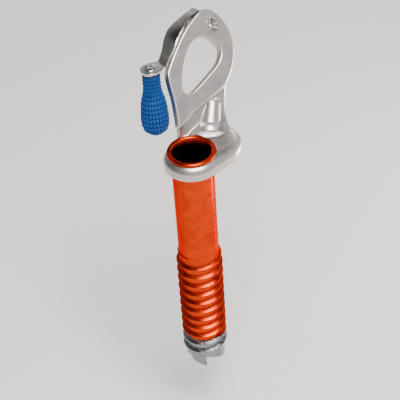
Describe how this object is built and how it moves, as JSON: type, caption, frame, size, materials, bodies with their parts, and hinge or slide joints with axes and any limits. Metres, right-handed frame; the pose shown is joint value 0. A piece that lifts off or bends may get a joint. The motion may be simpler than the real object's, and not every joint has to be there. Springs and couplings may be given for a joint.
{
  "type": "ice screw",
  "caption": "Hollow threaded ice screw with a flat clip-in eye on its flange and a folding crank arm that carries a free-turning grip knob.",
  "frame": {"origin": "the point of the clip-in eye where a carabiner bears, in the middle of the ear's thickness", "axes": "+Z along the tube axis, out of the open mouth; the cutting teeth point down -Z; +Y from the tube towards the ear"},
  "size_m": [0.0472, 0.0719, 0.1822],
  "materials": {
    "satin_aluminium": "satin, tumbled",
    "orange_anodised_aluminium": "orange anodised",
    "polished_stainless_steel": "polished",
    "hardened_tool_steel": "ground",
    "spring_steel": "bright",
    "blue_moulded_polyamide": "moulded, fine grain",
    "black_acetal": "moulded"
  },
  "bodies": {
    "screw": {"hanger": "satin_aluminium", "tube": "orange_anodised_aluminium", "cutting_crown": "hardened_tool_steel", "tube_lock_ring": "spring_steel", "hinge_pin": "polished_stainless_steel"},
    "crank": {"crank_arm": "polished_stainless_steel", "knob_axle": "polished_stainless_steel", "knob_washer": "polished_stainless_steel", "knob_keeper": "spring_steel"},
    "knob": {"knob_grip": "blue_moulded_polyamide", "knob_sleeve": "black_acetal", "knob_end_cap": "blue_moulded_polyamide"}
  },
  "joints": [
    {"name": "crank_fold", "type": "hinge", "parent": "screw", "child": "crank", "pos_m": [-0.00225, 0.0101, 0.00442], "axis": [-0.766, 0.6428, 0], "range_deg": [0, 180]},
    {"name": "knob_spin", "type": "hinge", "parent": "crank", "child": "knob", "pos_m": [-0.02474, -0.01764, -0.00478], "axis": [0, 0, 1], "continuous": true}
  ]
}
